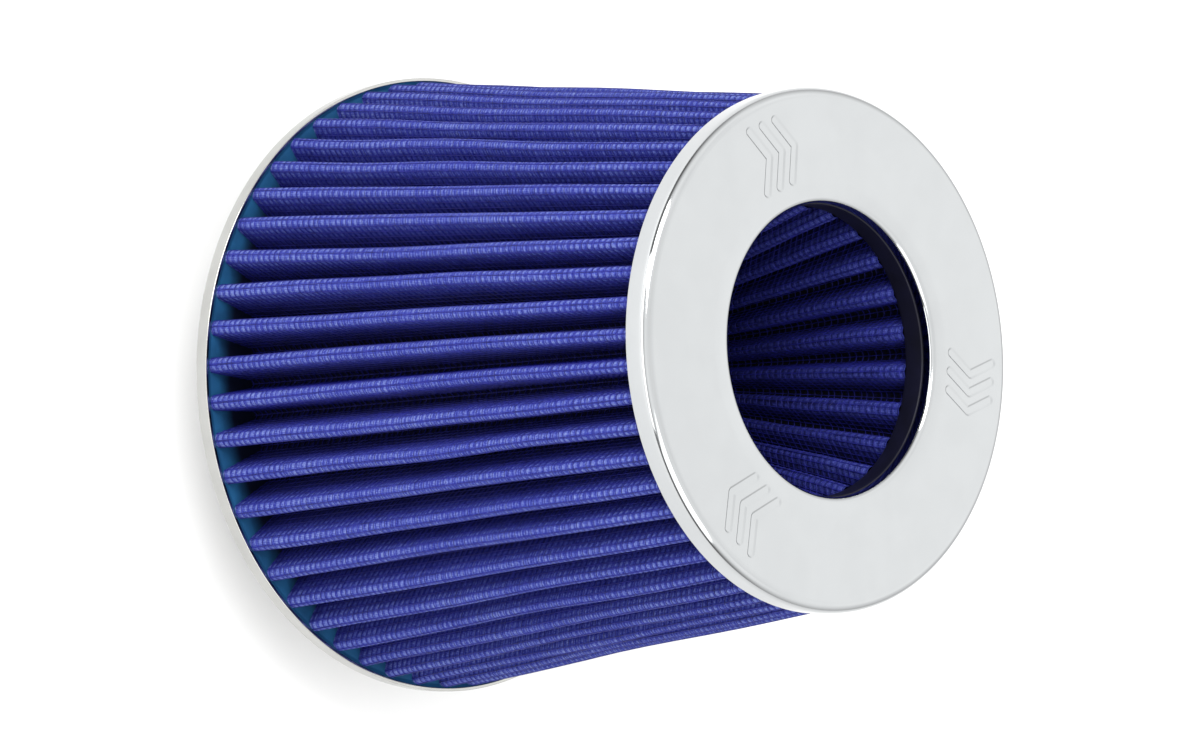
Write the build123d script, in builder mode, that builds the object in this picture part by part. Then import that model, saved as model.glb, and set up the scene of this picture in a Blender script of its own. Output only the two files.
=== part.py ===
from build123d import *
from math import atan2, cos, degrees, pi, radians, sin
import cmath
import os

os.makedirs("parts", exist_ok=True)

# Every size is in millimetres. +Z runs from the neck to the cap and z = 0 is the neck's open end.

# Overall sizes
base_diameter = 146.0
cap_diameter = 114.3
body_height = 130.2  # from the base pan's rear face to the cap's face
neck_bore_diameter = 76.2
neck_length = 25.0  # from the open end to the base pan's rear face

# Sheet metal of the pan, the cap and the inner cone's end cap
sheet = 0.8
pan_rim_height = 4.2
pan_corner_radius = 1.2
cap_rim_height = 6.0
cap_corner_radius = 2.2
cap_mark_count = 3
cap_mark_start = 80.0  # the first mark's angle, which leaves the face at angle 0 clear
cap_mark_depth = 0.25
cap_mark_length = 9.0
cap_mark_width = 1.4
cap_mark_gap = 4.2
cap_mark_lean = 28.0
cap_mark_spread = 3.5  # from a mark's middle to the middle of each arm

# The opening in the cap
opening_diameter = 64.0
lip_radius = 1.4
lip_depth = 3.0

# Cast seals that hold the pleat ends
base_seal_depth = 2.8
seal_corner_gap = 0.3  # keeps the base seal's chamfer clear of the pan's inside corner
cap_seal_depth = 4.2
opening_seal_depth = 8.5  # from the cap's face to the inner cone's pleat ends
seal_overhang = 0.2  # how far the seal stands into the opening past the cap's lip
seal_step_gap = 1.3  # from the inner cone's outside to the seal's step

# Pleated cones, with sizes given at each cone's wide end
outer_pleats = 52
outer_pleat_depth = 13.0
outer_crest_width = 3.4
outer_valley_width = 1.6
outer_top_inset = 0.25  # from the crest lines to the inside of the cap's rim
inner_pleats = 23
inner_pleat_depth = 9.5
inner_crest_width = 5.0
inner_valley_width = 1.0
inner_crest_inset = 0.8  # from the opening's wall to the crest lines
inner_apex_height = 16.0  # where the inner crest lines would meet, above the pan's rear face
inner_cone_bottom = 67.0  # above the pan's rear face
screen_thickness = 0.2
gauze_thickness = 0.9
layer_gap = 0.05
seam_width = 5.0
seam_thickness = 0.5
seam_gap = 0.05

# The inner cone's end cap
end_cap_rim_height = 5.0
end_cap_seal_depth = 4.2
end_cap_gap = 0.9  # from the pleats to the inside of the end cap's rim

# The rubber neck
neck_wall = 3.9
neck_bead_height = 2.5
neck_bead_size = 1.2
neck_shoulder_height = 2.5
neck_shoulder_size = 5.0
neck_flange_size = 8.0
neck_lead_in = 1.0
neck_shoulder_bevel = 1.0

# The worm-drive clamp
clamp_clearance = 0.1
band_width = 12.7
band_thickness = 0.7
band_height = 12.2  # the middle of the band above the neck's end
strap_thickness = 0.6
strap_gap = 0.1
strap_back_angle = 70.0
strap_front_angle = 45.0
strap_back_plain = 12.0  # the strap's ends without slots, in degrees
strap_front_plain = 6.0
slot_pitch = 3.0
slot_size = 1.9
slot_width = 8.0
housing_length = 14.0
housing_sheet = 0.8
housing_side_gap = 0.2
housing_roof_gap = 0.4
housing_screw_gap = 0.4
saddle_end_gap = 0.5
housing_leg_reach = 2.0  # how far the legs start below the band, before the neck side is trimmed
cut_past = 1.0  # how far a cutting shape runs past the piece it cuts
screw_angle = 90.0  # the clamp's screw sits on the +Y side
thread_radius = 4.2
thread_depth = 0.9
thread_crest = 0.9
thread_root = 1.5
thread_sink = 0.2  # how far the thread's root runs into the core
thread_grip = 0.45  # how far the thread stands into the strap's slots
screw_pin_radius = 1.5
screw_pin_stand = 1.0  # how far the pin stands out past the housing
screw_neck_radius = 2.5
screw_clearance = 0.08
head_length = 5.0
head_drop = 0.2  # how far the head reaches below the strap's crown, past the housing's end
collar_thickness = 1.0
driver_slot_width = 1.2
driver_slot_depth = 1.6

# Heights and radii that follow from them
pan_rear = neck_length
pan_floor = pan_rear + sheet
base_seal_top = pan_floor + base_seal_depth
cap_face = pan_rear + body_height
cap_under = cap_face - sheet
base_radius = base_diameter / 2
cap_radius = cap_diameter / 2
opening_radius = opening_diameter / 2
neck_bore = neck_bore_diameter / 2
neck_outside = neck_bore + neck_wall
pan_rim_inside = base_radius - sheet
cap_rim_inside = cap_radius - sheet
cap_seal_bottom = cap_under - cap_seal_depth
inner_cone_top = cap_face - opening_seal_depth
inner_cone_low = pan_rear + inner_cone_bottom
pack_thickness = 2 * screen_thickness + gauze_thickness + 2 * layer_gap

# The outer cone at its wide end, where the pleats meet the base seal
outer_crest = pan_rim_inside - layer_gap
outer_valley = outer_crest - outer_pleat_depth
outer_scale = (cap_rim_inside - outer_top_inset) / outer_crest

# The inner cone at its wide end, where the pleats meet the opening's seal
inner_visible_crest = opening_radius - inner_crest_inset
inner_valley = inner_visible_crest + pack_thickness
inner_crest = inner_visible_crest + inner_pleat_depth
apex = pan_rear + inner_apex_height
inner_scale = (inner_cone_low - apex) / (inner_cone_top - apex)
seal_step_radius = inner_crest + seam_thickness + seam_gap + seal_step_gap

# The clamp
band_inside = neck_outside + clamp_clearance
band_outside = band_inside + band_thickness
strap_inside = band_outside + strap_gap
strap_outside = strap_inside + strap_thickness
strap_middle = (strap_inside + strap_outside) / 2
screw_distance = strap_outside - thread_grip + thread_radius
head_radius = thread_radius - thread_grip + head_drop
worm_half = housing_length / 2 - housing_sheet - 2 * screw_clearance
thread_turns = int(2 * (worm_half - thread_root) / slot_pitch)
slot_shift = thread_turns % 2 / 2  # brings the slots in line with the thread at rest
housing_end = housing_length / 2
housing_inside = band_width / 2 + housing_side_gap
housing_outside = housing_inside + housing_sheet
band_low = band_height - band_width / 2


def pleat_corner(count, crest, valley, crest_width, valley_width, offset):
    """The crest corner and the valley corner of one pleat leg, as complex numbers."""
    half_turn = cmath.exp(1j * pi / count)
    crest_corner = crest + 1j * crest_width / 2
    valley_corner = half_turn * (valley - 1j * valley_width / 2)
    along = (valley_corner - crest_corner) / abs(valley_corner - crest_corner)
    outward = -1j * along
    start = crest_corner + offset * outward
    reach = (crest + offset - start.real) / along.real
    end = (valley_corner + offset * outward) / half_turn
    turned = along / half_turn
    back = (valley + offset - end.real) / turned.real
    return start + reach * along, (end + back * turned) * half_turn


def pleat_points(count, sizes, offset, scale, turn):
    """The closed zigzag outline of a pleated sheet's face, one offset from its outside."""
    crest_corner, valley_corner = pleat_corner(count, *sizes, offset)
    half_turn = cmath.exp(1j * pi / count)
    mirrored = half_turn * (valley_corner / half_turn).conjugate()
    points = []
    for index in range(count):
        spin = scale * cmath.exp(1j * (radians(turn) + 2 * pi * index / count))
        for corner in (crest_corner.conjugate(), crest_corner, valley_corner, mirrored):
            point = corner * spin
            points.append((point.real, point.imag))
    return points


def pleated_layer(label, count, sizes, outside, thickness, low, high, turn):
    """A pleated sheet between two heights. Each of low and high is a height and a scale."""
    loops = []
    for offset in (outside, outside - thickness):
        for height, scale in (low, high):
            points = pleat_points(count, sizes, offset, scale, turn)
            loops.append([(x, y, height) for x, y in points])
    front_low, front_high, back_low, back_high = loops
    faces = []
    for first in range(len(front_low)):
        second = (first + 1) % len(front_low)
        for bottom, top in ((front_low, front_high), (back_low, back_high)):
            corners = [bottom[first], bottom[second], top[second], top[first]]
            faces.append(Face(Wire.make_polygon(corners, close=True)))
    for front, back in ((front_low, back_low), (front_high, back_high)):
        edge = Wire.make_polygon(front, close=True)
        hole = Wire.make_polygon(back, close=True)
        faces.append(Face(edge, [hole]))
    solid = Solid(Shell(faces))
    with BuildPart() as layer:
        add(solid)
    layer.part.label = label
    return layer


def seam_strip(label, pleat_face, side, low, high):
    """A flat strip down a cone at the screw's angle, on the axis side of a pleat's face or outside it."""
    with BuildPart() as strip:
        sections = []
        for height, scale in (low, high):
            with BuildSketch(Plane.XY.offset(height), mode=Mode.PRIVATE) as section:
                with Locations((0, pleat_face * scale + side * (seam_gap + seam_thickness / 2))):
                    Rectangle(seam_width * scale, seam_thickness)
            sections.append(section.sketch.face())
        loft(sections, ruled=True)
    strip.part.label = label
    return strip


# Base pan: a stamped plate with a rim band
with BuildPart() as base_pan:
    with BuildSketch(Plane.XZ) as pan_profile:
        with BuildLine():
            Polyline(
                (neck_outside, pan_rear),
                (base_radius, pan_rear),
                (base_radius, pan_rear + pan_rim_height),
                (pan_rim_inside, pan_rear + pan_rim_height),
                (pan_rim_inside, pan_floor),
                (neck_outside, pan_floor),
                close=True,
            )
        make_face()
        fillet(
            pan_profile.vertices().filter_by(lambda v: v.Y < pan_rear + 0.01 and v.X > neck_outside + 1),
            radius=pan_corner_radius,
        )
    revolve(axis=Axis.Z)
base_pan.part.label = "base_pan"

# Base seal: cast round the pleat ends and over the neck's flange edge
seal_corner = pan_corner_radius - sheet + seal_corner_gap
with BuildPart() as base_seal:
    with BuildSketch(Plane.XZ):
        with BuildLine():
            Polyline(
                (neck_outside + neck_flange_size, pan_floor),
                (pan_rim_inside - seal_corner, pan_floor),
                (pan_rim_inside, pan_floor + seal_corner),
                (pan_rim_inside, base_seal_top),
                (neck_outside + neck_flange_size, base_seal_top),
                close=True,
            )
        make_face()
    revolve(axis=Axis.Z)
base_seal.part.label = "base_seal"

# Rubber neck, with a groove that holds the pan's inner edge
with BuildPart() as neck:
    with BuildSketch(Plane.XZ):
        with BuildLine():
            Polyline(
                (neck_bore + neck_lead_in, 0),
                (neck_outside + neck_bead_size, 0),
                (neck_outside + neck_bead_size, neck_bead_height),
                (neck_outside, neck_bead_height + neck_bead_size),
                (neck_outside, pan_rear - neck_shoulder_height - neck_shoulder_bevel),
                (neck_outside + neck_shoulder_bevel, pan_rear - neck_shoulder_height),
                (neck_outside + neck_shoulder_size, pan_rear - neck_shoulder_height),
                (neck_outside + neck_shoulder_size, pan_rear),
                (neck_outside, pan_rear),
                (neck_outside, pan_floor),
                (neck_outside + neck_flange_size, pan_floor),
                (neck_outside + neck_flange_size, base_seal_top),
                (neck_bore, base_seal_top),
                (neck_bore, neck_lead_in),
                close=True,
            )
        make_face()
    revolve(axis=Axis.Z)
neck.part.label = "neck"

# Cap: a stamped ring with a rolled lip round the opening and a rim band
with BuildPart() as cap:
    with BuildSketch(Plane.XZ) as cap_profile:
        with BuildLine():
            Polyline(
                (opening_radius, cap_face),
                (cap_radius, cap_face),
                (cap_radius, cap_face - cap_rim_height),
                (cap_rim_inside, cap_face - cap_rim_height),
                (cap_rim_inside, cap_under),
                (opening_radius + sheet, cap_under),
                (opening_radius + sheet, cap_face - lip_depth),
                (opening_radius, cap_face - lip_depth),
                close=True,
            )
        make_face()
        corners = [(cap_radius, cap_face, cap_corner_radius)]
        corners.append((opening_radius, cap_face, lip_radius))
        corners.append((cap_rim_inside, cap_under, cap_corner_radius - sheet))
        corners.append((opening_radius + sheet, cap_under, lip_radius - sheet))
        for across, up, radius in corners:
            at_corner = cap_profile.vertices().sort_by_distance((across, up, 0))[0]
            fillet(at_corner, radius=radius)
    revolve(axis=Axis.Z)
    mark_radius = (opening_radius + cap_radius) / 2
    with BuildSketch(Plane.XY.offset(cap_face)):
        for index in range(cap_mark_count):
            for row in (-1, 0, 1):
                for side in (-1, 1):
                    angle = cap_mark_start + 360 * index / cap_mark_count
                    turned = Rot(0, 0, angle) * Pos(mark_radius, row * cap_mark_gap)
                    arm = turned * Pos(side * cap_mark_spread) * Rot(0, 0, side * cap_mark_lean)
                    add(arm * SlotOverall(cap_mark_length, cap_mark_width, mode=Mode.PRIVATE))
    extrude(amount=-cap_mark_depth, mode=Mode.SUBTRACT)
cap.part.label = "cap"

# Cap seal: cast round both cones' pleat ends, and deeper round the opening
with BuildPart() as cap_seal:
    rim_chamfer = cap_corner_radius - sheet
    lip_chamfer = lip_radius - sheet
    with BuildSketch(Plane.XZ):
        with BuildLine():
            Polyline(
                (opening_radius - seal_overhang, inner_cone_top),
                (seal_step_radius, inner_cone_top),
                (seal_step_radius, cap_seal_bottom),
                (cap_rim_inside, cap_seal_bottom),
                (cap_rim_inside, cap_under - rim_chamfer),
                (cap_rim_inside - rim_chamfer, cap_under),
                (opening_radius + sheet + lip_chamfer, cap_under),
                (opening_radius + sheet, cap_under - lip_chamfer),
                (opening_radius + sheet, cap_face - lip_depth),
                (opening_radius - seal_overhang, cap_face - lip_depth),
                close=True,
            )
        make_face()
    revolve(axis=Axis.Z)
cap_seal.part.label = "cap_seal"

# Outer pleated cone: a wire screen, cotton gauze and a second wire screen
outer_sizes = (outer_crest, outer_valley, outer_crest_width, outer_valley_width)
outer_low = (base_seal_top, 1.0)
outer_high = (cap_seal_bottom, outer_scale)
outer_turn = 90 + 180 / outer_pleats
gauze_offset = -screen_thickness - layer_gap
back_offset = gauze_offset - gauze_thickness - layer_gap
outer_ends = (outer_low, outer_high, outer_turn)
outer_screen = pleated_layer(
    "outer_screen", outer_pleats, outer_sizes, 0, screen_thickness, *outer_ends
)
outer_gauze = pleated_layer(
    "outer_gauze", outer_pleats, outer_sizes, gauze_offset, gauze_thickness, *outer_ends
)
outer_backing = pleated_layer(
    "outer_backing", outer_pleats, outer_sizes, back_offset, screen_thickness, *outer_ends
)
outer_seam = seam_strip("outer_seam", outer_valley - pack_thickness, -1, outer_low, outer_high)

# Inner pleated cone, narrow end down, in the same three layers
inner_sizes = (inner_crest, inner_valley, inner_crest_width, inner_valley_width)
inner_low = (inner_cone_low, inner_scale)
inner_high = (inner_cone_top, 1.0)
inner_backing = pleated_layer(
    "inner_backing", inner_pleats, inner_sizes, 0, screen_thickness, inner_low, inner_high, 90
)
inner_gauze = pleated_layer(
    "inner_gauze", inner_pleats, inner_sizes, gauze_offset, gauze_thickness, inner_low, inner_high, 90
)
inner_screen = pleated_layer(
    "inner_screen", inner_pleats, inner_sizes, back_offset, screen_thickness, inner_low, inner_high, 90
)
inner_seam = seam_strip("inner_seam", inner_crest, 1, inner_low, inner_high)

# The inner cone's end cap and the seal cast in it
end_cap_radius = (inner_crest + seam_thickness + seam_gap) * inner_scale + end_cap_gap + sheet
end_cap_floor = inner_cone_low - end_cap_seal_depth
with BuildPart() as end_cap:
    with BuildSketch(Plane.XZ):
        with BuildLine():
            Polyline(
                (0, end_cap_floor - sheet),
                (end_cap_radius, end_cap_floor - sheet),
                (end_cap_radius, end_cap_floor + end_cap_rim_height),
                (end_cap_radius - sheet, end_cap_floor + end_cap_rim_height),
                (end_cap_radius - sheet, end_cap_floor),
                (0, end_cap_floor),
                close=True,
            )
        make_face()
    revolve(axis=Axis.Z)
    outer_edge = end_cap.edges().filter_by(GeomType.CIRCLE).group_by(Axis.Z)[0]
    fillet(outer_edge, radius=sheet * 0.7)
end_cap.part.label = "end_cap"

with BuildPart() as end_seal:
    with BuildSketch(Plane.XY.offset(end_cap_floor)):
        Circle(end_cap_radius - sheet)
    extrude(amount=end_cap_seal_depth)
end_seal.part.label = "end_seal"

# Clamp band: a loop that starts and ends at the saddle
saddle_half_angle = degrees(atan2(housing_end, band_inside))
band_start = screw_angle + saddle_half_angle + degrees(saddle_end_gap / band_inside)
band_sweep = 360 - 2 * (band_start - screw_angle)


def curved_strip(inside, outside, start, sweep, low, width):
    """The profile at an angle and its turn about Z make a strip bent round the neck."""
    across, along = cos(radians(start)), sin(radians(start))
    profile_plane = Plane(origin=(0, 0, 0), x_dir=(across, along, 0), z_dir=(along, -across, 0))
    with BuildPart() as strip:
        with BuildSketch(profile_plane):
            with Locations(((inside + outside) / 2, low + width / 2)):
                Rectangle(outside - inside, width)
        revolve(axis=Axis.Z, revolution_arc=sweep)
    return strip.part


band_strip = curved_strip(band_inside, band_outside, band_start, band_sweep, band_low, band_width)
with BuildPart() as clamp_band:
    add(band_strip)
clamp_band.part.label = "clamp_band"

# Clamp saddle: the curved plate under the housing, which the housing's legs stand on
saddle_strip = curved_strip(
    band_inside,
    band_outside,
    screw_angle - saddle_half_angle,
    2 * saddle_half_angle,
    band_height - housing_outside,
    2 * housing_outside,
)
with BuildPart() as clamp_saddle:
    add(saddle_strip)
clamp_saddle.part.label = "clamp_saddle"

# Clamp strap: the slotted end of the band, which runs through the housing
strap_sweep = strap_back_angle + strap_front_angle
slot_step = degrees(slot_pitch / strap_middle)
slots_back = int((strap_back_angle - strap_back_plain) / slot_step)
slots_front = int((strap_front_angle - strap_front_plain) / slot_step)
plain_strap = curved_strip(
    strap_inside,
    strap_outside,
    screw_angle - strap_back_angle,
    strap_sweep,
    band_low,
    band_width,
)
with BuildPart() as clamp_strap:
    add(plain_strap)
    for index in range(-slots_back, slots_front + 1):
        slot_angle = screw_angle + (index + slot_shift) * slot_step
        spot = Rot(0, 0, slot_angle) * Pos(strap_middle, 0, band_height)
        add(spot * Box(4 * strap_thickness, slot_size, slot_width, mode=Mode.PRIVATE), mode=Mode.SUBTRACT)
clamp_strap.part.label = "clamp_strap"

# Clamp housing: legs beside the strap, a flat shoulder and a round cover over the screw
housing_plane = Plane(origin=(-housing_end, 0, 0), x_dir=(0, 1, 0), z_dir=(1, 0, 0))
leg_foot = band_inside - housing_leg_reach
roof = strap_outside + housing_roof_gap
cover_inside = thread_radius + housing_screw_gap
with BuildPart() as clamp_housing:
    with BuildSketch(housing_plane):
        with Locations(((leg_foot + roof + housing_sheet) / 2, band_height)):
            Rectangle(roof + housing_sheet - leg_foot, 2 * housing_outside)
        with Locations((screw_distance, band_height)):
            Circle(cover_inside + housing_sheet)
    extrude(amount=housing_length)
    with BuildSketch(housing_plane):
        with Locations(((leg_foot - cut_past + roof) / 2, band_height)):
            Rectangle(roof - leg_foot + cut_past, 2 * housing_inside)
    extrude(amount=housing_length, mode=Mode.SUBTRACT)
    with BuildSketch(housing_plane.offset(housing_sheet)):
        with Locations((screw_distance, band_height)):
            Circle(cover_inside)
    extrude(amount=housing_length - 2 * housing_sheet, mode=Mode.SUBTRACT)
    with BuildSketch(housing_plane):
        with Locations((screw_distance, band_height)):
            Circle(screw_pin_radius + screw_clearance)
    extrude(amount=housing_sheet, mode=Mode.SUBTRACT)
    with BuildSketch(housing_plane.offset(housing_length - housing_sheet)):
        with Locations((screw_distance, band_height)):
            Circle(screw_neck_radius + screw_clearance)
    extrude(amount=housing_sheet, mode=Mode.SUBTRACT)
    with BuildSketch(Plane.XY.offset(band_height - housing_outside - cut_past)):
        Circle(band_outside)
    extrude(amount=2 * (housing_outside + cut_past), mode=Mode.SUBTRACT)
clamp_housing.part.label = "clamp_housing"

# Clamp screw: pin, worm, neck, collar and a slotted hexagon head, along +X
screw_plane = Plane(origin=(0, screw_distance, band_height), x_dir=(0, -1, 0), z_dir=(1, 0, 0))
core_radius = thread_radius - thread_depth
with BuildPart() as worm_thread:
    with BuildLine() as thread_path:
        Helix(slot_pitch, thread_turns * slot_pitch, core_radius)
    path_start = thread_path.line @ 0
    with BuildSketch(Plane(origin=path_start, x_dir=(1, 0, 0), z_dir=thread_path.line % 0)):
        with BuildLine():
            Polyline(
                (-thread_sink, -thread_root / 2),
                (thread_depth, -thread_crest / 2),
                (thread_depth, thread_crest / 2),
                (-thread_sink, thread_root / 2),
                close=True,
            )
        make_face()
    sweep(path=thread_path.line, is_frenet=True)

with BuildPart() as clamp_screw:
    with BuildSketch(screw_plane.offset(-worm_half)):
        Circle(core_radius)
    extrude(amount=2 * worm_half)
    with BuildSketch(screw_plane.offset(-housing_end - screw_pin_stand)):
        Circle(screw_pin_radius)
    extrude(amount=housing_length / 2)
    with BuildSketch(screw_plane):
        Circle(screw_neck_radius)
    extrude(amount=housing_end + screw_clearance)
    with BuildSketch(screw_plane.offset(housing_end + screw_clearance)):
        Circle(head_radius)
    extrude(amount=collar_thickness)
    with BuildSketch(screw_plane.offset(housing_end + screw_clearance)):
        RegularPolygon(head_radius, 6)
    extrude(amount=collar_thickness + head_length)
    with BuildSketch(screw_plane.offset(housing_end + collar_thickness + head_length - driver_slot_depth)):
        Rectangle(driver_slot_width, 3 * head_radius)
    extrude(amount=driver_slot_depth + cut_past, mode=Mode.SUBTRACT)
    add(screw_plane.offset(-thread_turns * slot_pitch / 2).location * worm_thread.part)
clamp_screw.part.label = "clamp_screw"

export_step(base_pan.part, "parts/base_pan.step")
export_step(base_seal.part, "parts/base_seal.step")
export_step(neck.part, "parts/neck.step")
export_step(cap.part, "parts/cap.step")
export_step(cap_seal.part, "parts/cap_seal.step")
export_step(outer_screen.part, "parts/outer_screen.step")
export_step(outer_gauze.part, "parts/outer_gauze.step")
export_step(outer_backing.part, "parts/outer_backing.step")
export_step(outer_seam.part, "parts/outer_seam.step")
export_step(inner_screen.part, "parts/inner_screen.step")
export_step(inner_gauze.part, "parts/inner_gauze.step")
export_step(inner_backing.part, "parts/inner_backing.step")
export_step(inner_seam.part, "parts/inner_seam.step")
export_step(end_cap.part, "parts/end_cap.step")
export_step(end_seal.part, "parts/end_seal.step")
export_step(clamp_band.part, "parts/clamp_band.step")
export_step(clamp_saddle.part, "parts/clamp_saddle.step")
export_step(clamp_strap.part, "parts/clamp_strap.step")
export_step(clamp_housing.part, "parts/clamp_housing.step")
export_step(clamp_screw.part, "parts/clamp_screw.step")
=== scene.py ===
import bpy
import bmesh
import cmath
import math
import random
from mathutils import Matrix, Vector


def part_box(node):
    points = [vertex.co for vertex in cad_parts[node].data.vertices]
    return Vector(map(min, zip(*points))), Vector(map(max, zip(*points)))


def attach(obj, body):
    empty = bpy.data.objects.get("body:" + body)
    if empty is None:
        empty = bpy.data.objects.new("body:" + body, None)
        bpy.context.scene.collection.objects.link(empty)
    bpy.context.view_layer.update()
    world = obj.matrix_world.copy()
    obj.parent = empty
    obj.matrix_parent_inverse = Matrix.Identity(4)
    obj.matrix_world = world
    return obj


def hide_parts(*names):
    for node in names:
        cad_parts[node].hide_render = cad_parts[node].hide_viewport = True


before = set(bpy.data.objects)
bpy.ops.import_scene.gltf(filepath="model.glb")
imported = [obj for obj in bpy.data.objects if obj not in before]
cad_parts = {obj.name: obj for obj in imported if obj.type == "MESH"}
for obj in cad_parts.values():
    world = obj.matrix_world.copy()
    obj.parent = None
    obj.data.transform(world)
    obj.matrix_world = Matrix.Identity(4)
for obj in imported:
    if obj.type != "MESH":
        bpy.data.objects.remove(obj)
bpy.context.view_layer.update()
scene = bpy.context.scene
scene.view_settings.view_transform = "Standard"
mm = 0.001
chance = random.Random(7)


# small helpers
def linearColour(hexText):
    channels = [int(hexText[i:i + 2], 16) / 255 for i in (1, 3, 5)]
    return [c / 12.92 if c <= 0.04045 else ((c + 0.055) / 1.055) ** 2.4 for c in channels] + [1.0]


def addNode(tree, kind, inputs=None, steps=(), **settings):
    # steps are a colour ramp's (place, colour) pairs, where a colour is a hex text or a grey from 0 to 1
    node = tree.nodes.new(kind)
    for key, value in settings.items():
        setattr(node, key, value)
    for key, value in (inputs or {}).items():
        if isinstance(value, bpy.types.NodeSocket):
            tree.links.new(value, node.inputs[key])
        else:
            node.inputs[key].default_value = value
    while steps and len(node.color_ramp.elements) < len(steps):
        node.color_ramp.elements.new(0.5)
    for index, (place, colour) in enumerate(steps):
        element = node.color_ramp.elements[index]
        element.position = place
        element.color = linearColour(colour) if isinstance(colour, str) else (colour, colour, colour, 1)
    return node


def newMaterial(name, **sockets):
    material = bpy.data.materials.new(name)
    material.use_nodes = True
    shader = material.node_tree.nodes["Principled BSDF"]
    for key, value in sockets.items():
        shader.inputs[key.replace("_", " ")].default_value = value
    return material, material.node_tree, shader


def makePiece(name, mesh, material, body, *nodes):
    piece = bpy.data.objects.new(name, mesh)
    scene.collection.objects.link(piece)
    mesh.materials.clear()
    mesh.materials.append(material)
    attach(piece, body)
    if nodes:
        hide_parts(*nodes)
    return piece


def meshFrom(bm, name, sharpAngle=35):
    bmesh.ops.recalc_face_normals(bm, faces=bm.faces)
    for face in bm.faces:
        face.smooth = True
    for edge in bm.edges:
        if len(edge.link_faces) == 2 and edge.calc_face_angle(0) > math.radians(sharpAngle):
            edge.smooth = False
    mesh = bpy.data.meshes.new(name)
    bm.to_mesh(mesh)
    bm.free()
    return mesh


def roundedProfile(corners, steps=6):
    # corners are (across, up, radius) in mm round a closed section, and each corner turns into an arc
    points = []
    count = len(corners)
    for index, (across, up, radius) in enumerate(corners):
        here = complex(across, up)
        if radius <= 0:
            points.append(here)
            continue
        before = complex(*corners[index - 1][:2]) - here
        after = complex(*corners[(index + 1) % count][:2]) - here
        before /= abs(before)
        after /= abs(after)
        angle = abs(cmath.phase(after / before))
        reach = radius / math.tan(angle / 2)
        middle = here + (before + after) / abs(before + after) * radius / math.sin(angle / 2)
        first = here + before * reach - middle
        last = here + after * reach - middle
        turn = cmath.phase(last / first)
        for step in range(steps + 1):
            points.append(middle + first * cmath.exp(1j * turn * step / steps))
    return points


def latheMesh(name, corners, steps=6, around=192, sharpAngle=35):
    bm = bmesh.new()
    verts = [bm.verts.new((p.real * mm, 0, p.imag * mm)) for p in roundedProfile(corners, steps)]
    edges = [bm.edges.new((verts[i - 1], verts[i])) for i in range(len(verts))]
    bmesh.ops.spin(bm, geom=verts + edges, cent=(0, 0, 0), axis=(0, 0, 1), dvec=(0, 0, 0),
                   angle=2 * math.pi, steps=around, use_merge=True)
    bmesh.ops.remove_doubles(bm, verts=bm.verts, dist=1e-7)
    bmesh.ops.delete(bm, geom=[edge for edge in bm.edges if not edge.link_faces], context="EDGES")
    return meshFrom(bm, name, sharpAngle)


# sizes read from the frame
capLow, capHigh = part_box("cap")
panLow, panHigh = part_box("base_pan")
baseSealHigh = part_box("base_seal")[1]
capSealLow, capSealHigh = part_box("cap_seal")
outerLow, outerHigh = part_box("outer_screen")
innerLow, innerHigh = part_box("inner_backing")
endCapLow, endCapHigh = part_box("end_cap")
capFace, capRadius, rimLow = capHigh[2] / mm, capHigh[0] / mm, capLow[2] / mm
panRear, panRadius, panRim = panLow[2] / mm, panHigh[0] / mm, panHigh[2] / mm
print("frame loaded")


# bare and plated metals. Each look has two tints for its cloudy patches, the roughness at both ends of its
# grain, the grain's size in mm along X, Y and Z, and the depth of its scratches in mm
metalGrain = {"cloudMm": 8.0, "cloudDetail": 3.0, "grainDetail": 4.0}
metalLooks = {
    # chrome plate over buffed steel: a hard grey mirror with faint handling marks
    "chromePlatedSteel": (("#adafb0", "#afb1b2"), (0.055, 0.11), (7, 7, 7), 0.0015),
    "chromePlatedPan": (("#a9a9a6", "#b0b0ad"), (0.1, 0.17), (7, 7, 7), 0.0015),
    # cold-rolled stainless strip: fine lines along the strip draw its highlights out
    "rolledStainless": (("#b3b3b0", "#c0c0bd"), (0.18, 0.36), (14, 14, 0.3), 0.004),
    "pressedStainless": (("#acacaa", "#bcbcba"), (0.22, 0.42), (5, 2, 0.5), 0.005),
    # zinc plate: a soft blue-grey gleam with a mottled passivated skin
    "zincPlatedSteel": (("#9b9fa5", "#b2b1a8"), (0.28, 0.45), (1.2, 1.2, 1.2), 0.006),
    # mill-finish aluminium strip: pale, dull, with rolling lines along it
    "millAluminium": (("#b6b8bb", "#c6c8cb"), (0.34, 0.5), (0.4, 0.4, 12), 0.005),
}


def makeMetal(name):
    tints, roughness, grainMm, scratchMm = metalLooks[name]
    material, tree, shader = newMaterial(name, Metallic=1.0)
    place = addNode(tree, "ShaderNodeTexCoord").outputs["Object"]
    drawn = addNode(tree, "ShaderNodeMapping", {"Vector": place,
                                                "Scale": [1 / (size * mm) for size in grainMm]})
    grain = addNode(tree, "ShaderNodeTexNoise", {"Vector": drawn.outputs["Vector"], "Scale": 1.0,
                                                 "Detail": metalGrain["grainDetail"]})
    cloud = addNode(tree, "ShaderNodeTexNoise", {"Vector": place, "Scale": 1 / (metalGrain["cloudMm"] * mm),
                                                 "Detail": metalGrain["cloudDetail"]})
    colour = addNode(tree, "ShaderNodeValToRGB", {"Fac": cloud.outputs["Fac"]},
                     [(0.35, tints[0]), (0.65, tints[1])])
    tree.links.new(colour.outputs["Color"], shader.inputs["Base Color"])
    rough = addNode(tree, "ShaderNodeMapRange", {
        "Value": grain.outputs["Fac"], "From Min": 0.3, "From Max": 0.7, "To Min": roughness[0],
        "To Max": roughness[1]})
    tree.links.new(rough.outputs["Result"], shader.inputs["Roughness"])
    bump = addNode(tree, "ShaderNodeBump", {"Height": grain.outputs["Fac"], "Distance": scratchMm * mm})
    tree.links.new(bump.outputs["Normal"], shader.inputs["Normal"])
    return material


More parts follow.
